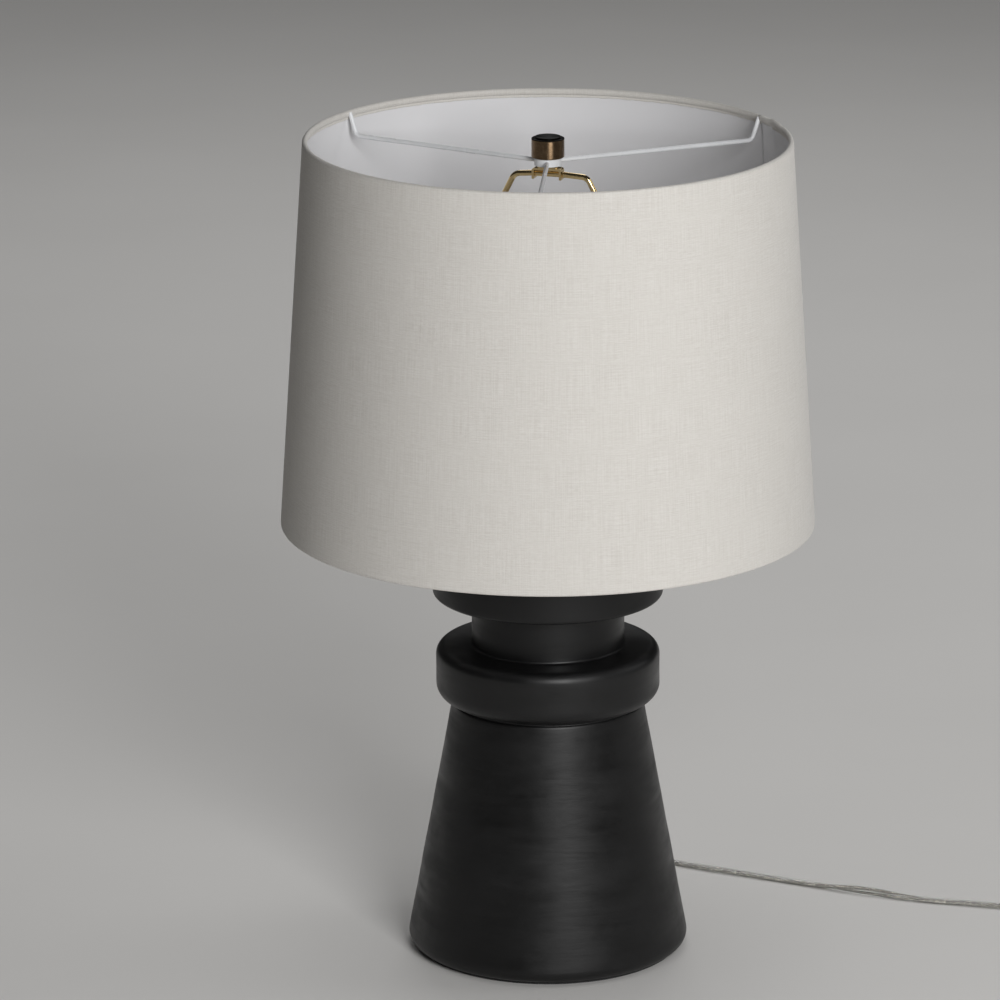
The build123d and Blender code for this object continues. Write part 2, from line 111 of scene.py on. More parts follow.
# ---------- materials ----------
class Look:
    """A material being built: its node tree, its shader and a few shorthands."""

    def __init__(self, name, colour=(0.8, 0.8, 0.8), **sockets):
        self.material = bpy.data.materials.new(name)
        self.material.use_nodes = True
        self.tree = self.material.node_tree
        self.shader = self.tree.nodes["Principled BSDF"]
        self.shader.inputs["Base Color"].default_value = (*colour, 1.0)
        for socket, value in sockets.items():
            self.shader.inputs[socket.replace("_", " ")].default_value = value
        self.normal = None

    def put(self, socket, value):
        """Sets a socket to a constant, or links it."""
        if isinstance(value, bpy.types.NodeSocket):
            self.tree.links.new(value, socket)
        elif value is not None:
            socket.default_value = value

    def node(self, kind, **settings):
        new = self.tree.nodes.new(kind)
        for key, value in settings.items():
            setattr(new, key, value)
        return new

    def place(self, stretch=(1.0, 1.0, 1.0), attribute=None):
        """Coordinates in metres, or those of a mesh attribute in millimetres, stretched."""
        if attribute:
            source = self.node("ShaderNodeAttribute", attribute_name=attribute).outputs["Vector"]
        else:
            source = self.node("ShaderNodeTexCoord").outputs["Object"]
        mapping = self.node("ShaderNodeMapping")
        self.put(mapping.inputs["Vector"], source)
        mapping.inputs["Scale"].default_value = stretch
        return mapping.outputs["Vector"]

    def noise(self, place, scale, detail=3.0, rough=0.5, twist=0.0):
        new = self.node("ShaderNodeTexNoise")
        self.put(new.inputs["Vector"], place)
        new.inputs["Scale"].default_value = scale
        new.inputs["Detail"].default_value = detail
        new.inputs["Roughness"].default_value = rough
        new.inputs["Distortion"].default_value = twist
        return new.outputs["Fac"]

    def maths(self, operation, *values):
        new = self.node("ShaderNodeMath", operation=operation)
        for socket, value in zip(new.inputs, values):
            self.put(socket, value)
        return new.outputs[0]

    def remap(self, value, low, high, new_low, new_high):
        new = self.node("ShaderNodeMapRange")
        limits = {"From Min": low, "From Max": high, "To Min": new_low, "To Max": new_high}
        for name, number in limits.items():
            new.inputs[name].default_value = number
        self.put(new.inputs["Value"], value)
        return new.outputs["Result"]

    def mix(self, share, first, second):
        """Blend of two colours, through the colour sockets of a Mix node."""
        new = self.node("ShaderNodeMix", data_type="RGBA")
        first_socket, second_socket, result = new.inputs[6], new.inputs[7], new.outputs[2]
        self.put(new.inputs["Factor"], share)
        for socket, colour in ((first_socket, first), (second_socket, second)):
            self.put(socket, colour if isinstance(colour, bpy.types.NodeSocket) else (*colour, 1.0))
        return result

    def split(self, vector):
        """The three parts of a vector."""
        new = self.node("ShaderNodeSeparateXYZ")
        self.put(new.inputs[0], vector)
        return new.outputs

    def bump(self, height, depth, strength=1.0):
        """Adds a bump of that depth in metres over the bumps before it."""
        new = self.node("ShaderNodeBump")
        new.inputs["Strength"].default_value = strength
        new.inputs["Distance"].default_value = depth
        self.put(new.inputs["Height"], height)
        self.put(new.inputs["Normal"], self.normal)
        self.normal = new.outputs["Normal"]
        self.put(self.shader.inputs["Normal"], self.normal)

    def colour(self, value):
        self.put(self.shader.inputs["Base Color"], value)

    def roughness(self, value):
        self.put(self.shader.inputs["Roughness"], value)


def weave_height(look, place, pitch):
    """Plain weave: each thread is a ridge that dips under the crossing ones."""
    across = look.split(place)
    ridges = []
    for axis in (0, 1):
        wave = look.maths("SINE", look.maths("MULTIPLY", across[axis], math.pi / pitch))
        ridges.append((wave, look.maths("ABSOLUTE", wave)))
    (wave_u, ridge_u), (wave_v, ridge_v) = ridges
    over = look.remap(look.maths("MULTIPLY", wave_u, wave_v), -0.12, 0.12, 0.0, 1.0)
    warp = look.maths("MULTIPLY", ridge_u, look.maths("MULTIPLY_ADD", ridge_v, 0.4, 0.6))
    weft = look.maths("MULTIPLY", ridge_v, look.maths("MULTIPLY_ADD", ridge_u, 0.4, 0.6))
    return look.maths("MULTIPLY_ADD", over, look.maths("SUBTRACT", warp, weft), weft)


def linen():
    """Fine natural linen: plain weave, painted shade between its threads, slubs along both threads, faint
    mottling.
    """
    look = Look("linen", (0.74, 0.715, 0.675), Roughness=0.92, Sheen_Weight=0.25, Sheen_Roughness=0.45,
                Specular_IOR_Level=0.2)
    flat = look.place(attribute="cloth")
    weave = weave_height(look, flat, 0.52)
    weft_slub = look.noise(look.place((0.035, 1.5, 1.0), "cloth"), 1.0, 2.0)
    warp_slub = look.noise(look.place((1.4, 0.03, 1.0), "cloth"), 1.0, 2.0)
    short = look.noise(look.place((0.25, 1.1, 1.0), "cloth"), 1.0, 3.0)
    cloudy = look.noise(flat, 0.02, 3.0)
    slubs = look.maths("ADD", look.maths("ADD", weft_slub, warp_slub), short)
    tone = look.mix(look.remap(slubs, 1.2, 1.8, 0.0, 1.0), (0.685, 0.655, 0.61), (0.785, 0.762, 0.722))
    tone = look.mix(look.remap(cloudy, 0.35, 0.65, 0.0, 0.35), tone, (0.75, 0.725, 0.68))
    # Painted shade: the low places between the threads are coloured darker.
    weave_gap_shade = look.remap(weave, 0.0, 0.45, 0.82, 1.0)
    look.colour(look.mix(weave_gap_shade, (0.5, 0.46, 0.41), tone))
    look.bump(weave, 0.00012, 0.7)
    look.bump(slubs, 0.00025, 0.6)
    return look.material


def lining():
    """Smooth white styrene sheet with a soft sheen."""
    look = Look("lining", (0.83, 0.835, 0.85), Roughness=0.42, Specular_IOR_Level=0.35)
    faint = look.noise(look.place((1.0, 1.0, 0.25)), 14.0, 3.0)
    look.colour(look.mix(faint, (0.755, 0.752, 0.765), (0.80, 0.797, 0.81)))
    look.roughness(look.remap(faint, 0.3, 0.7, 0.36, 0.5))
    look.bump(look.noise(look.place(), 900.0, 2.0), 0.00002, 0.5)
    return look.material


def black_ceramic():
    """Matt black glaze: soft mottled sheen, wiped sideways, with a fine tooth."""
    look = Look("black_ceramic", (0.005, 0.005, 0.005), Roughness=0.42, Specular_IOR_Level=0.4)
    wiped = look.noise(look.place((7.0, 7.0, 60.0)), 1.0, 5.0, 0.6, 0.5)
    blotches = look.noise(look.place((22.0, 22.0, 34.0)), 1.0, 3.0, 0.6, 0.3)
    tooth = look.noise(look.place(), 1400.0, 2.0)
    both = look.maths("MULTIPLY_ADD", blotches, 0.5, look.maths("MULTIPLY", wiped, 0.5))
    look.roughness(look.remap(both, 0.36, 0.64, 0.30, 0.54))
    shade = look.remap(both, 0.35, 0.65, 0.0, 1.0)
    look.colour(look.mix(shade, (0.0035, 0.0035, 0.0036), (0.0075, 0.0075, 0.0078)))
    look.bump(both, 0.0011, 0.4)
    look.bump(tooth, 0.00003, 0.5)
    return look.material


def metal(name, colour, dark, rough, stretch=(1.0, 1.0, 1.0), scratch=0.5):
    """Metal with smudges in its gloss and fine scratches or brushing along a direction."""
    look = Look(name, colour, Metallic=1.0, Roughness=rough)
    smudge = look.noise(look.place(), 60.0, 4.0, 0.6)
    lines = look.noise(look.place(stretch), 1.0, 2.0)
    look.roughness(look.remap(look.maths("ADD", smudge, lines), 0.7, 1.3, rough * 0.7, rough * 1.35))
    look.colour(look.mix(look.remap(smudge, 0.35, 0.75, 0.0, 1.0), colour, dark))
    look.bump(lines, 0.00002, scratch)
    return look.material


def bronze():
    """Dark antique bronze: brushed round its side, with painted shade making its top nearly black."""
    look = Look("dark_bronze", (0.16, 0.10, 0.055), Roughness=0.34, Specular_IOR_Level=0.02,
                Anisotropic=0.85, Anisotropic_Rotation=0.25)
    around = look.node("ShaderNodeTangent", direction_type="RADIAL", axis="Z").outputs[0]
    look.put(look.shader.inputs["Tangent"], around)
    place = look.place()
    brushed = look.noise(look.place((120.0, 120.0, 5200.0)), 1.0, 2.0)
    patina = look.noise(place, 170.0, 4.0, 0.6)
    height = look.split(place)[2]
    side_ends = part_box("finial")[1][2] - 0.0025
    # Painted shade: the top is coloured near black and made non-metallic, so it shows almost no reflection.
    top = look.remap(height, side_ends, side_ends + 0.0008, 0.0, 1.0)
    side = look.mix(look.remap(patina, 0.35, 0.7, 0.0, 1.0), (0.25, 0.17, 0.10), (0.16, 0.105, 0.06))
    look.colour(look.mix(top, side, (0.004, 0.0035, 0.003)))
    look.put(look.shader.inputs["Metallic"], look.maths("SUBTRACT", 1.0, top))
    look.roughness(look.remap(look.maths("ADD", brushed, patina), 0.7, 1.3, 0.26, 0.36))
    look.bump(brushed, 0.00004, 0.6)
    return look.material


def enamel(name, colour, rough, speck=500.0):
    """Sprayed or moulded gloss surface with faint orange peel."""
    look = Look(name, colour, Roughness=rough, Specular_IOR_Level=0.5)
    peel = look.noise(look.place(), speck, 2.0)
    tone = look.noise(look.place(), 40.0, 3.0)
    darker = tuple(c * 0.88 for c in colour)
    look.colour(look.mix(look.remap(tone, 0.35, 0.7, 0.0, 1.0), colour, darker))
    look.roughness(look.remap(tone, 0.3, 0.7, rough * 0.85, rough * 1.2))
    look.bump(peel, 0.00003, 0.5)
    return look.material


def fibrous(name, colour, scale, depth, stretch=(1.0, 1.0, 1.0)):
    """Felt or card: matted fibres."""
    look = Look(name, colour, Roughness=0.95, Sheen_Weight=0.3, Specular_IOR_Level=0.15)
    fibres = look.noise(look.place(stretch), scale, 5.0, 0.75, 1.5)
    darker = tuple(c * 0.6 for c in colour)
    look.colour(look.mix(look.remap(fibres, 0.3, 0.7, 0.0, 1.0), darker, colour))
    look.bump(fibres, depth, 0.8)
    return look.material


def clear_plastic(name, tint, rough, clear):
    """Clear soft PVC: see-through, slightly cloudy."""
    look = Look(name, tint, Roughness=rough, IOR=1.5, Transmission_Weight=clear)
    cloud = look.noise(look.place(), 120.0, 3.0)
    look.roughness(look.remap(cloud, 0.3, 0.7, rough * 0.6, rough * 1.5))
    look.bump(look.noise(look.place(), 260.0, 2.0), 0.00008, 0.4)
    return look.material


def frosted_glass():
    """White-coated bulb glass."""
    look = Look("frosted_glass", (0.9, 0.895, 0.87), Roughness=0.16, Subsurface_Weight=0.4,
                Coat_Weight=0.4, Coat_Roughness=0.06)
    look.shader.inputs["Subsurface Radius"].default_value = (0.01, 0.01, 0.01)
    look.bump(look.noise(look.place(), 90.0, 2.0), 0.00006, 0.25)
    return look.material


def strands():
    """Tinned copper strands: fine twisted bright lines."""
    look = Look("strands", (0.82, 0.80, 0.76), Metallic=1.0, Roughness=0.12)
    lay = look.split(look.place(attribute="along"))
    twist = look.maths("MULTIPLY_ADD", lay[0], 2.4, look.maths("MULTIPLY", lay[1], 13.0))
    ridges = look.maths("SINE", twist)
    tone = look.noise(look.place((0.2, 1.0, 1.0), "along"), 1.0, 2.0)
    look.colour(look.mix(tone, (0.88, 0.86, 0.82), (0.66, 0.6, 0.52)))
    look.bump(ridges, 0.00006, 0.8)
    return look.material


def make_materials():
    """Every material, by the name of its slot."""
    brushed, even_grain = (700.0, 700.0, 90.0), (300.0, 300.0, 300.0)
    drawn, rolled = (60.0, 900.0, 900.0), (80.0, 80.0, 1500.0)
    bright, tarnished = (0.87, 0.68, 0.36), (0.72, 0.53, 0.26)
    return {
        "linen": linen(), "lining": lining(), "ceramic": black_ceramic(), "dark_bronze": bronze(),
        "polished_brass": metal("polished_brass", bright, tarnished, 0.1, brushed, 0.3),
        "steel": metal("zinc_steel", (0.62, 0.62, 0.61), (0.45, 0.46, 0.47), 0.32, even_grain),
        "nickel": metal("nickel", (0.74, 0.72, 0.68), (0.6, 0.58, 0.54), 0.18, drawn),
        "bulb_metal": metal("rolled_aluminium", (0.78, 0.78, 0.78), (0.6, 0.6, 0.61), 0.24, rolled),
        "white_paint": enamel("white_enamel", (0.84, 0.85, 0.865), 0.26),
        "black_rubber": enamel("black_rubber", (0.022, 0.022, 0.022), 0.55, 900.0),
        "nylon": enamel("nylon", (0.8, 0.79, 0.73), 0.45),
        "phenolic": enamel("phenolic", (0.018, 0.014, 0.012), 0.22),
        "black_glass": enamel("black_glass", (0.012, 0.012, 0.016), 0.08),
        "felt": fibrous("felt", (0.035, 0.035, 0.036), 900.0, 0.0004),
        "fibre_card": fibrous("fibre_card", (0.42, 0.35, 0.27), 500.0, 0.0001, (1.0, 1.0, 0.2)),
        "clear_cord": clear_plastic("clear_pvc", (0.86, 0.87, 0.85), 0.14, 0.92),
        "clear_plug": clear_plastic("clear_moulding", (0.84, 0.86, 0.84), 0.2, 0.8),
        "bulb_glass": frosted_glass(), "strands": strands(),
    }


# ---------- mesh helpers ----------
def rounded(corners):
    """Points of a closed outline; a corner is (x, y) or (x, y, rounding)."""
    points = []
    for i, corner in enumerate(corners):
        here = np.array(corner[:2], float)
        rounding = corner[2] if len(corner) > 2 else 0
        if not rounding:
            points.append(here)
            continue
        before = np.array(corners[i - 1][:2], float) - here
        after = np.array(corners[(i + 1) % len(corners)][:2], float) - here
        before /= np.linalg.norm(before)
        after /= np.linalg.norm(after)
        half = math.acos(np.clip(before @ after, -1, 1)) / 2
        middle = before + after
        centre = here + middle / np.linalg.norm(middle) * rounding / math.sin(half)
        start = here + before * rounding / math.tan(half) - centre
        end = here + after * rounding / math.tan(half) - centre
        first, last = math.atan2(start[1], start[0]), math.atan2(end[1], end[0])
        sweep = (last - first + math.pi) % (2 * math.pi) - math.pi
        count = max(2, math.ceil(abs(sweep) / math.radians(10)))
        for angle in np.linspace(first, first + sweep, count + 1):
            points.append(centre + rounding * np.array((math.cos(angle), math.sin(angle))))
    return points


def spaced(points, step):
    """The same closed outline with no piece of it longer than step."""
    filled = []
    for start, end in zip(points, points[1:] + points[:1]):
        count = max(1, math.ceil(np.linalg.norm(end - start) / step))
        filled.extend(start + (end - start) * k / count for k in range(count))
    return filled


def build(name, points, faces, material, attribute=None, values=None, crease=35.0):
    """A smooth mesh object from points in millimetres."""
    mesh = bpy.data.meshes.new(name)
    mesh.from_pydata([tuple(p) for p in np.asarray(points, float) * MM], [], faces)
    mesh.validate()
    if attribute:
        layer = mesh.attributes.new(attribute, "FLOAT_VECTOR", "POINT")
        layer.data.foreach_set("vector", np.asarray(values, np.float32).ravel())
    mesh.polygons.foreach_set("use_smooth", [True] * len(mesh.polygons))
    mesh.set_sharp_from_angle(angle=math.radians(crease))
    mesh.materials.append(material)
    mesh.update()
    piece = bpy.data.objects.new(name, mesh)
    bpy.context.collection.objects.link(piece)
    return piece


def grid_faces(rows, columns, wrap_rows, wrap_columns):
    """Quads between the points of a grid stored row by row."""
    faces = []
    for i in range(rows if wrap_rows else rows - 1):
        for j in range(columns if wrap_columns else columns - 1):
            a, b = i * columns + j, i * columns + (j + 1) % columns
            below = (i + 1) % rows * columns
            faces.append((a, b, below + (j + 1) % columns, below + j))
    return faces


def lathe(name, outline, material, segments=128, move=None):
    """A closed outline of (radius, height) turned about the lamp's axis. move(angle, r, z) -> r, z."""
    rows = []
    for r, z in outline:
        for k in range(segments):
            angle = 2 * math.pi * k / segments
            rr, zz = move(angle, r, z) if move else (r, z)
            rows.append((rr * math.cos(angle), rr * math.sin(angle), zz))
    faces = grid_faces(len(outline), segments, True, True)
    piece = build(name, rows, faces, material)
    mend(piece)
    return piece


def mend(piece):
    """Welds points that fall together on the axis, drops what that leaves empty, and faces outwards."""
    shape = bmesh.new()
    shape.from_mesh(piece.data)
    bmesh.ops.remove_doubles(shape, verts=shape.verts, dist=1e-7)
    bmesh.ops.dissolve_degenerate(shape, edges=shape.edges, dist=1e-8)
    loose = [v for v in shape.verts if not v.link_faces]
    bmesh.ops.delete(shape, geom=loose, context="VERTS")
    bmesh.ops.recalc_face_normals(shape, faces=shape.faces)
    shape.to_mesh(piece.data)
    shape.free()


def ramp(value, low, high):
    """Smooth step from 0 at low to 1 at high, for a number or an array."""
    share = np.clip((value - low) / (high - low), 0.0, 1.0)
    return share * share * (3 - 2 * share)


def lengths_along(points):
    """Distance of each point from the first, along the points."""
    return np.concatenate([[0], np.cumsum(np.linalg.norm(np.diff(points, axis=0), axis=1))])


def frames_along(path):
    """Unit side and up at each point of a path; side stays as level as the path allows."""
    tangents = np.gradient(path, axis=0)
    tangents /= np.linalg.norm(tangents, axis=1)[:, None]
    sides = np.cross(tangents, (0.0, 0.0, 1.0))
    sides /= np.linalg.norm(sides, axis=1)[:, None]
    return sides, np.cross(sides, tangents)


def swept(name, path, section, turns, material, lift=None, attribute=None):
    """A section of (side, up) swept along a path and turned by an angle at each of its points."""
    sides, ups = frames_along(path)
    section = np.asarray(section, float)
    count = len(section)
    lengths = lengths_along(path)
    centres = path if lift is None else path + ups * lift[:, None]
    rings, values = [], []
    for i, centre in enumerate(centres):
        c, s = math.cos(turns[i]), math.sin(turns[i])
        across = section[:, 0] * c - section[:, 1] * s
        high = section[:, 0] * s + section[:, 1] * c
        rings.append(centre + across[:, None] * sides[i] + high[:, None] * ups[i])
        values.extend((lengths[i], 2 * math.pi * k / count, 0.0) for k in range(count))
    points = np.concatenate([*rings, centres[:1], centres[-1:]])
    values += [(0.0, 0.0, 0.0), (lengths[-1], 0.0, 0.0)]
    faces = [face[::-1] for face in capped(len(path), count, len(points) - 2, len(points) - 1)]
    piece = build(name, points, faces, material, attribute, values if attribute else None)
    mend(piece)
    return piece


def capped(rings, count, first, last):
    """Quads between rings of points, and fans from the first and last rings to two centre points."""
    top = (rings - 1) * count
    faces = grid_faces(rings, count, False, True)
    faces += [(first, (k + 1) % count, k) for k in range(count)]
    faces += [(last, top + k, top + (k + 1) % count) for k in range(count)]
    return faces


def ride(piece, body, slot, *nodes):
    """Puts a piece on its body and hides the CAD nodes that it stands for; its finish (slot) is not used.
    """
    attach(piece, body)
    if nodes:
        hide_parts(*nodes)
    return piece


# ---------- cord ----------
def coil_points():
    """Turns of the coil, 16 points each: inwards on the floor, then outwards on top."""
    count = round(16 * COIL_TURNS)
    climb_from, climb_to = 0.46, 0.54
    points = []
    for i in range(1, count):
        share = i / count
        angle = math.radians(COIL_START - 360 * COIL_TURNS * share)
        inward = 1 - abs(2 * share - 1)
        radius = COIL_R_OUT + (COIL_R_IN - COIL_R_OUT) * inward
        height = CORD_Z + COIL_LAYER * ramp(share, climb_from, climb_to)
        points.append((COIL_X + radius * math.cos(angle), COIL_Y + radius * math.sin(angle), height))
    return points


def smooth_line(route):
    """Points of the NURBS spline that has the route as its control points, in millimetres."""
    curve = bpy.data.curves.new("cord_line", "CURVE")
    curve.dimensions = "3D"
    spline = curve.splines.new("NURBS")
    spline.points.add(len(route) - 1)
    for point, place in zip(spline.points, route):
        point.co = (*(x * MM for x in place), 1.0)
    spline.order_u = 3
    spline.use_endpoint_u = True
    spline.resolution_u = 16
    holder = bpy.data.objects.new("cord_line", curve)
    bpy.context.collection.objects.link(holder)
    bpy.context.view_layer.update()
    mesh = bpy.data.meshes.new_from_object(holder.evaluated_get(bpy.context.evaluated_depsgraph_get()))
    line = np.array([v.co[:] for v in mesh.vertices]) / MM
    bpy.data.objects.remove(holder)
    bpy.data.meshes.remove(mesh)
    return line


def even(line, step):
    """The same line with points every step or so, and how far along it each one is."""
    lengths = lengths_along(line)
    places = np.linspace(0, lengths[-1], round(lengths[-1] / step) + 1)
    return np.column_stack([np.interp(places, lengths, line[:, k]) for k in range(3)]), places


def flat_section():
    """Outline of the twin cord: two round lobes and a shallow valley between them."""
    centre, valley = CORD_W / 2 - LOBE, 0.72 * LOBE
    angles = np.radians(np.linspace(-100, 100, 13))
    right = [(centre + LOBE * math.cos(a), LOBE * math.sin(a)) for a in angles]
    left = [(-x, -y) for x, y in right]
    return [*right, (0.0, valley), *left, (0.0, -valley)]


def cord_turns(places, line):
    """Roll of the flat cord along its length: nearly level, with one half twist where it is seen."""
    middle = places[np.argmin(np.linalg.norm(line[:, :2] - TWIST_AT, axis=1))]
    roll = math.pi * ramp(places, middle - TWIST_LENGTH / 2, middle + TWIST_LENGTH / 2)
    clear_of_boot = np.clip(places / 60.0, 0, 1)
    before_coil = places < middle + 150
    return roll + 0.10 * np.sin(places / 41.0) * clear_of_boot * before_coil


def cord_lift(turns, line):
    """How far the section's middle is off the route, so that the cord's underside is on the floor."""
    half_height = LOBE + (CORD_W / 2 - LOBE) * np.abs(np.sin(turns))
    on_floor = half_height - CORD_Z
    raised = np.clip((line[:, 2] - CORD_Z) / 6.0, 0, 1)
    return on_floor * (1 - raised)


def strand_bundle(core):
    """Outline of a conductor: six strands round a core."""
    angles = np.linspace(0, 2 * math.pi, 18, endpoint=False)
    radii = core * (1 + 0.07 * np.cos(6 * angles))
    return np.column_stack([radii * np.cos(angles), radii * np.sin(angles)])


def add_cord(looks):
    """Clear jacket, two stranded conductors inside it, and the plug."""
    line = smooth_line(CORD_ROUTE + coil_points() + CORD_TAIL)
    path, places = even(line, 1.6)
    turns = cord_turns(places, path)
    lift = cord_lift(turns, path)
    jacket = swept("cord_jacket", path, flat_section(), turns, looks["clear_cord"], lift)
    ride(jacket, "base", "clear_cord", "cord", "cord_coil", "cord_tail")
    bundle = strand_bundle(core=0.82)
    sides, ups = frames_along(path)
    across = (CORD_W / 2 - LOBE) * (np.cos(turns)[:, None] * sides + np.sin(turns)[:, None] * ups)
    for number, side in enumerate((-1, 1), 1):
        centre = path + lift[:, None] * ups + side * across
        wire = swept(f"conductor_{number}", centre, bundle, places / 2.2, looks["strands"],
                     attribute="along")
        ride(wire, "base", "clear_cord")
    plug = add_plug(looks)


def add_plug(looks):
    """Moulded plug: a waisted block with a ribbed neck round the cord."""
    start, before = np.array(CORD_TAIL[-1]), np.array(CORD_TAIL[-2])
    direction = (start - before) / np.linalg.norm(start - before)
    # Sections along the plug: distance from the cord's end, half width, half thickness.
    stations = [(0.0, 3.9, 2.6), (1.0, 4.2, 3.0)]
    for k in range(4):
        x, grow = 2.0 + 2.6 * k, 0.35 * k
        ridge, groove = (4.5 + grow, 3.3 + grow), (3.9 + grow, 2.8 + grow)
        stations += [(x, *ridge), (x + 1.2, *ridge), (x + 1.5, *groove), (x + 2.3, *groove)]
    stations += [
        (12.6, 8.6, 5.2), (14.2, 11.0, 6.1), (17.0, 11.8, 6.4), (23.0, 11.3, 6.2), (29.0, 11.8, 6.4),
        (32.0, 11.7, 6.4), (32.8, 11.2, 6.0), (33.0, 10.4, 5.4), (33.0, 6.0, 3.0)]
    up = np.array((0.0, 0.0, 1.0))
    across = np.cross(direction, up)
    count, squareness = 40, 3.2
    points = []
    for x, half_w, half_t in stations:
        for a in np.linspace(0, 2 * math.pi, count, endpoint=False):
            c, s = math.cos(a), math.sin(a)
            square = (abs(c) ** squareness + abs(s) ** squareness) ** (-1 / squareness)
            points.append(start + direction * x + across * half_w * c * square + up * half_t * s * square)
    points += [start, start + direction * stations[-1][0]]
    faces = capped(len(stations), count, len(points) - 2, len(points) - 1)
    plug = build("plug_moulding", points, faces, looks["clear_plug"], crease=50.0)
    mend(plug)
    return ride(plug, "base", "clear_plug", "plug_body")


def add_strain_relief(looks):
    """Ribbed tapered boot and its two flanges, lying along +Y."""
    low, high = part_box("strain_relief")
    length = (high[1] - low[1]) / MM
    outline = [
        (0.0, 0.0), (8.0, 0.0, 0.5), (8.0, 2.8), (6.0, 2.8), (6.0, 15.9), (8.0, 15.9, 0.5),
        (8.0, 17.6, 0.6), (5.7, 18.4)]
    for k in range(5):
        x, r = 20.0 + 4.0 * k, 5.5 - 0.36 * k
        outline += [(r, x, 0.3), (r - 0.1, x + 1.7, 0.3), (r - 0.9, x + 2.2, 0.2), (r - 1.0, x + 3.6, 0.2)]
    outline += [(3.7, length, 0.4), (0.0, length)]
    boot = lathe("strain_relief_boot", rounded(outline), looks["black_rubber"], 64)
    place = Matrix.Translation((0.0, low[1], (low[2] + high[2]) / 2))
    boot.data.transform(place @ Matrix.Rotation(math.radians(-90), 4, "X"))
    return ride(boot, "base", "black_rubber", "strain_relief")


# ---------- base ----------
def add_base(looks):
    """Turned ceramic body with the slight unevenness of a hand-finished glaze."""
    def cone_r(z):
        return FOOT_R + (SHOULDER_R - FOOT_R) * (z - PAD) / (SHOULDER_Z - PAD)

    neck_in, hole_r = NECK_R - WALL, PIPE_R + 0.2
    # Up the outside from the foot to the disc, through the pipe's hole, and down the hollow inside.
    corners = [
        (RECESS_R, PAD), (FOOT_R, PAD, 8), (SHOULDER_R, SHOULDER_Z, 5), (69, COLLAR_Z0 - 1.4, 0.8),
        (COLLAR_R, COLLAR_Z0, 12), (COLLAR_R, COLLAR_Z1, 8), (NECK_R, COLLAR_Z1, 2),
        (NECK_R, DISC_Z0 - 0.4, 6), (DISC_R, DISC_Z0, 3), (DISC_R, DISC_Z1, 5),
        (hole_r, DISC_Z1), (hole_r, DISC_Z1 - WALL), (neck_in, DISC_Z1 - WALL, 8),
        (neck_in, COLLAR_Z0, 12), (cone_r(180) - WALL, 180, 20),
        (RECESS_R - 4, RECESS_Z + 10), (RECESS_R - 4, RECESS_Z), (RECESS_R, RECESS_Z)]

    def uneven(angle, r, z):
        if r < 40 or z < PAD + 0.01:    # the pipe's hole and the foot's rim stay true
            return r, z
        where = Vector((r * math.cos(angle) / 45, r * math.sin(angle) / 45, z / 30))
        rings = simplex.noise(Vector((0.0, 3.0, z / 5.0)))
        return r + 0.30 * simplex.noise(where) + 0.06 * rings, z

    outline = spaced(rounded(corners), 4.0)
    body = lathe("ceramic_body", outline, looks["ceramic"], 256, uneven)
    return ride(body, "base", "ceramic", "base_body")


# ---------- shade ----------
def shade_r(z):
    """Outer radius of the linen at a height."""
    return SHADE_R0 + (SHADE_R1 - SHADE_R0) * (z - SHADE_Z0) / (SHADE_Z1 - SHADE_Z0)


def linen_profile():
    """The linen's middle line: inside the top hem, over both rims, and inside the bottom hem."""
    half = SKIN / 2
    round_r = RIM - half

    def rim(z0, way):
        def at(depth, height):
            z = z0 + way * height
            return np.array((shade_r(z) - depth, z))

        inner = [at(2 * SKIN + half, -(HEM_DEPTH - RIM) * s) for s in np.linspace(1, 0.62, 6)]
        easing = ((1.15, 2.9), (0.55, 2.1), (0.15, 1.3), (0.0, 0.6))
        bulge = [at(RIM + round_r - d, -h) for d, h in easing]
        over = np.linspace(0, math.pi, 13)
        arc = [at(RIM + round_r * math.cos(a), round_r * math.sin(a)) for a in over]
        return inner + bulge + arc

    heights = np.linspace(SHADE_Z1 - RIM - 1.5, SHADE_Z0 + RIM + 1.5, 75)
    side = [np.array((shade_r(z) - half, z)) for z in heights]
    return rim(SHADE_Z1 - RIM, 1) + side + rim(SHADE_Z0 + RIM, -1)[::-1]


def lining_profile():
    """The lining's middle line, from under the top hem to under the bottom hem."""
    heights = np.linspace(SHADE_Z1 - RIM, SHADE_Z0 + RIM, 60)
    return [np.array((shade_r(z) - 1.5 * SKIN, z)) for z in heights]


def fold(angle):
    """How far the top rim is puckered up, just before the lap: 0 to 1."""
    full_turn = 2 * math.pi
    risen = ramp(angle, full_turn - 0.12, full_turn - 0.10)
    return risen - ramp(angle, full_turn - 0.015, full_turn)


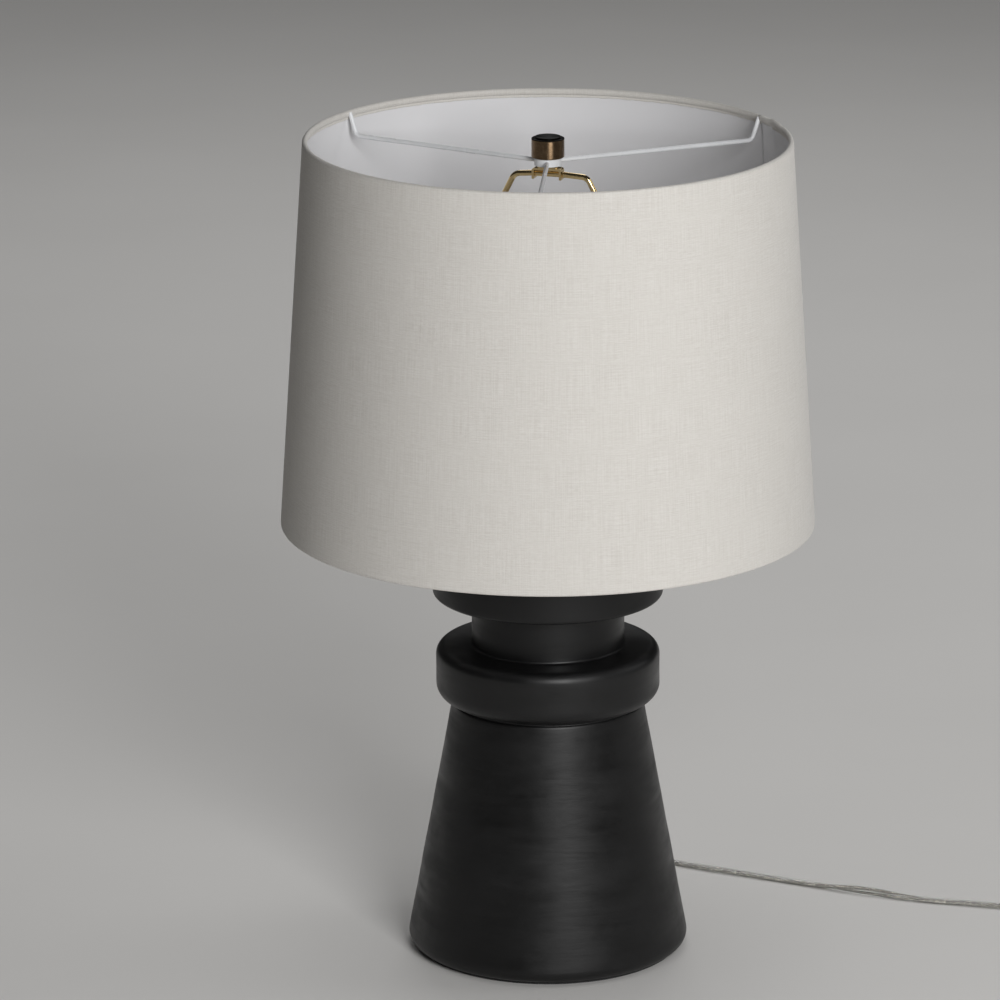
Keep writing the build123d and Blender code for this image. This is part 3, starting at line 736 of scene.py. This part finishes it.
def wrapped(name, profile, lap_way, material, columns=420):
    """A sheet: the profile wrapped once round the axis, with a lap, and then given its thickness."""
    lengths = lengths_along(profile)
    angles = np.linspace(0, 2 * math.pi + SEAM_LAP / SHADE_R1, columns)
    stand_off = SEAM_STEP * ramp(angles, 2 * math.pi - 0.02, 2 * math.pi)
    glued_down = 1 - 0.55 * ramp(angles, angles[-1] - 2.0 / SHADE_R1, angles[-1])
    folds = fold(angles)
    points, values = [], []
    for (r, z), down in zip(profile, lengths):
        way = lap_way(r, z)
        from_edge = min(down, lengths[-1] - down)
        near_edge = math.exp(-from_edge / 12.0)
        torn_edge = max(0.0, 1.0 - from_edge / 3.5)
        near_rim = math.exp(-abs(z - SHADE_Z1) / 2.5)
        # The lap's outer edge is pressed into the layer under it; its inner edge stands off.
        steps = way * stand_off * (glued_down if way > 0 else 1.0)
        for angle, step, folded in zip(angles, steps, folds):
            here = angle + math.radians(SEAM_ANGLE)
            c, s = math.cos(here), math.sin(here)
            wave = near_edge * simplex.noise(Vector((c * 9, s * 9, down / 30)))
            fray = torn_edge * simplex.noise(Vector((c * 60, s * 60, 7.0)))
            rr = r + step + 0.22 * wave
            points.append((rr * c, rr * s, z + 0.16 * wave + 0.45 * fray + near_rim * folded))
            values.append((angle * SHADE_R1, -down, 0.0))
    faces = grid_faces(len(profile), columns, False, False)
    sheet = build(name, points, faces, material, "cloth", values, 60.0)
    thick = sheet.modifiers.new("thickness", "SOLIDIFY")
    thick.thickness, thick.offset = SKIN * MM, 0.0
    with_thickness = bpy.data.meshes.new_from_object(
        sheet.evaluated_get(bpy.context.evaluated_depsgraph_get()))
    sheet.modifiers.clear()
    sheet.data = with_thickness
    return sheet, float(lengths[-1])


def add_shade(looks):
    """Linen folded over both rim wires, and the white lining behind it."""
    def outwards(r, z):
        return 1.0 if r > shade_r(z) - RIM else -1.0

    linen_piece, width = wrapped("shade_linen", linen_profile(), outwards, looks["linen"])
    ride(linen_piece, "shade", "linen", "shade_fabric", "top_hem", "bottom_hem")
    lining_piece, depth = wrapped("shade_lining", lining_profile(), lambda r, z: -1.0, looks["lining"])
    ride(lining_piece, "shade", "lining", "shade_liner")


def add_finial(looks):
    """Plain bronze cap with a slightly raised disc."""
    low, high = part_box("finial")
    z0, z1, r = low[2] / MM, high[2] / MM, high[0] / MM
    bore_r, bore_top = 3.25, z0 + 12
    outline = [
        (bore_r, bore_top), (bore_r, z0 + 0.5, 0.4), (4.2, z0, 0.3), (r - 0.8, z0, 0.3), (r, z0 + 0.6, 0.4),
        (r, z1 - 1.2, 0.45), (r - 2.5, z1 - 1.25, 0.15), (r - 2.6, z1, 0.35), (0.0, z1), (0.0, bore_top)]
    piece = lathe("finial_cap", rounded(outline), looks["dark_bronze"], 128)
    return ride(piece, "finial", "dark_bronze", "finial")


# ---------- socket and bulb ----------
def add_bulb(looks):
    """Pear-shaped glass and its rolled screw cap."""
    low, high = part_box("bulb_glass")
    r, neck, glass_wall = high[0] / MM, low[2] / MM, 0.8
    centre = high[2] / MM - r
    ball = [(r * math.cos(a), centre + r * math.sin(a)) for a in np.radians(np.linspace(90, -24, 30))]
    # From the ball down to the neck: radius, and distance below the ball's centre.
    taper = ((25.2, 16.8), (21.6, 23.5), (18.2, 31.0), (15.4, 39.0), (13.6, 46.0), (12.7, 52.0))
    outside = [*ball, *((x, centre - below) for x, below in taper), (12.3, neck)]
    inside = [(max(0.0, x - glass_wall), y - (glass_wall if x < 5 else 0.0)) for x, y in reversed(outside)]
    glass = lathe("bulb_envelope", [np.array(p) for p in outside + inside], looks["bulb_glass"], 96)
    ride(glass, "bulb", "bulb_glass", "bulb_glass")
    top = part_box("bulb_cap")[1][2] / MM
    threads = [(12.4, top), (12.9, top - 0.4, 0.2), (12.9, top - 2.5, 0.3)]
    for k in range(5):
        z = top - 3.4 - THREAD_PITCH * k
        threads += [(12.0, z, 0.5), (12.95, z - THREAD_PITCH / 2, 0.5)]
    threads += [
        (12.1, top - 17.0, 0.4), (9.0, top - 19.5), (8.4, top - 18.8),
        (11.4, top - 16.4, 0.3), (11.4, top - 2.0), (12.0, top)]
    cap = lathe("bulb_screw_cap", rounded(threads), looks["bulb_metal"], 96)
    ride(cap, "bulb", "bulb_metal", "bulb_cap")


def add_socket(looks):
    """Beaded brass outer shell, and the screw shell with its thread."""
    low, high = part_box("socket_shell")
    r, z0, z1 = high[0] / MM, low[2] / MM, high[2] / MM
    bead, groove, inner = r - 0.5, r - 0.4, r - 0.6
    outside = [
        (r - 0.25, z1), (r, z1 - 0.5, 0.3), (r, z1 - 2.2, 0.3),
        (bead, z1 - 2.9, 0.4), (bead, z1 - 4.0, 0.4), (r, z1 - 4.6, 0.4),
        (r, z0 + 14, 0.4), (groove, z0 + 13.2, 0.4), (groove, z0 + 12.0, 0.4), (r, z0 + 11.2, 0.4), (r, z0)]
    inside = [
        (inner, z0), (inner, z0 + 11.0), (r - 0.75, z0 + 12.6), (inner, z0 + 14.4), (inner, z1 - 4.8),
        (r - 0.85, z1 - 3.4), (inner, z1 - 2.0), (inner, z1)]
    shell = lathe("socket_outer_shell", rounded(outside + inside), looks["polished_brass"], 128)
    ride(shell, "base", "polished_brass", "socket_shell")
    low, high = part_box("screw_shell")
    r, z0, z1 = 13.9, low[2] / MM, high[2] / MM
    thread = [(r, z0), (r, z1), (r - 0.4, z1)]
    z = z1 - 1.5
    while z > z0 + 3:
        thread += [(r - 0.6, z, 0.3), (r - 0.05, z - THREAD_PITCH / 2, 0.3)]
        z -= THREAD_PITCH
    thread += [(r - 0.5, z0 + 0.5), (r - 0.5, z0)]
    ride(lathe("lamp_screw_shell", rounded(thread), looks["nickel"], 96), "base", "nickel", "screw_shell")


def add_knob(looks):
    """Moulded knob with flutes, made along +X and then turned to face as its stem does."""
    count, flutes = 96, 12
    # Sections along the knob: distance from the lamp's axis, radius, share of the flutes' full depth.
    stations = [
        (24.0, 4.6, 0.0), (24.3, 5.1, 0.2), (25.5, 5.4, 1.0), (27.0, 5.6, 1.0), (34.6, 5.6, 1.0),
        (35.6, 5.2, 0.7), (36.0, 4.4, 0.0), (36.0, 2.4, 0.0)]
    points = []
    for x, r, flute in stations:
        for a in np.linspace(0, 2 * math.pi, count, endpoint=False):
            rr = r + 0.35 * flute * math.cos(flutes * a)
            points.append((x, rr * math.cos(a), rr * math.sin(a)))
    points += [(stations[0][0], 0.0, 0.0), (stations[-1][0], 0.0, 0.0)]
    faces = [face[::-1] for face in capped(len(stations), count, len(points) - 2, len(points) - 1)]
    knob = build("fluted_knob", points, faces, looks["phenolic"], crease=40.0)
    mend(knob)
    low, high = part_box("switch_knob")
    up = Matrix.Translation((0.0, 0.0, (low[2] + high[2]) / 2))
    knob.data.transform(up @ Matrix.Rotation(math.radians(KNOB_ANGLE), 4, "Z"))
    return ride(knob, "switch", "phenolic", "switch_knob")


# ---------- CAD nodes that stay ----------
def dress_cad_nodes(looks):
    """Gives each CAD node that is still shown the material of its slot."""
    slots = {part["node"]: part["material_slot"] for part in frame["record"]["subparts"]}
    for name, node in frame["nodes"].items():
        material = looks[slots[name]]
        for held in node.material_slots:
            held.material = material


# ---------- stage ----------
def add_light(name, place, **settings):
    """One area light at a place, aimed straight down until it is turned."""
    light = bpy.data.lights.new(name, "AREA")
    for setting, value in settings.items():
        setattr(light, setting, value)
    lamp = bpy.data.objects.new(name, light)
    lamp.location = place
    bpy.context.collection.objects.link(lamp)
    return lamp


def add_studio_lights():
    """Soft key from the right of the camera, a weak light from the right, and one from behind."""
    aim = Vector((0.0, 0.0, 0.36))
    for name, azimuth, elevation, distance, width, height, power in (
            ("key", 19.0, 21.0, 3.0, 1.1, 1.3, 62.0),
            ("side", 100.0, 28.0, 3.0, 1.0, 1.6, 9.0),
            ("back", 178.0, 38.0, 3.2, 1.4, 1.4, 16.0)):
        a, e = math.radians(azimuth), math.radians(elevation)
        way = Vector((math.cos(e) * math.sin(a), -math.cos(e) * math.cos(a), math.sin(e)))
        lamp = add_light(name, aim + distance * way, shape="RECTANGLE",
                         size=width, size_y=height, energy=power)
        lamp.rotation_euler = (-way).to_track_quat("-Z", "Y").to_euler()


def light_floor(floor):
    """A wide soft light from above that lights nothing but the floor."""
    only_floor = bpy.data.collections.new("only_floor")
    only_floor.objects.link(floor)
    wash = add_light("floor_wash", (0.0, 1.4, 4.4), shape="SQUARE", size=6.0, energy=92.0)
    wash.light_linking.receiver_collection = only_floor


def add_stage():
    """Pale floor, its own light, the studio lights and a dim even sky."""
    bpy.ops.mesh.primitive_plane_add(size=40.0)
    floor = bpy.context.object
    floor.name = "floor"
    look = Look("floor", (0.62, 0.61, 0.595), Roughness=0.85, Specular_IOR_Level=0.2)
    look.colour(look.mix(look.noise(look.place(), 3.0, 3.0), (0.60, 0.59, 0.575), (0.64, 0.63, 0.615)))
    floor.data.materials.append(look.material)
    add_studio_lights()
    light_floor(floor)
    world = bpy.data.worlds.new("world")
    world.use_nodes = True
    sky = world.node_tree.nodes["Background"].inputs
    sky["Color"].default_value = (1.0, 1.0, 1.0, 1.0)
    sky["Strength"].default_value = 0.03
    bpy.context.scene.world = world
    bpy.context.scene.view_settings.view_transform = "Standard"


add_camera()
materials = make_materials()
add_strain_relief(materials)
add_cord(materials)
add_base(materials)
add_shade(materials)
add_finial(materials)
add_bulb(materials)
add_socket(materials)
add_knob(materials)
dress_cad_nodes(materials)
add_stage()
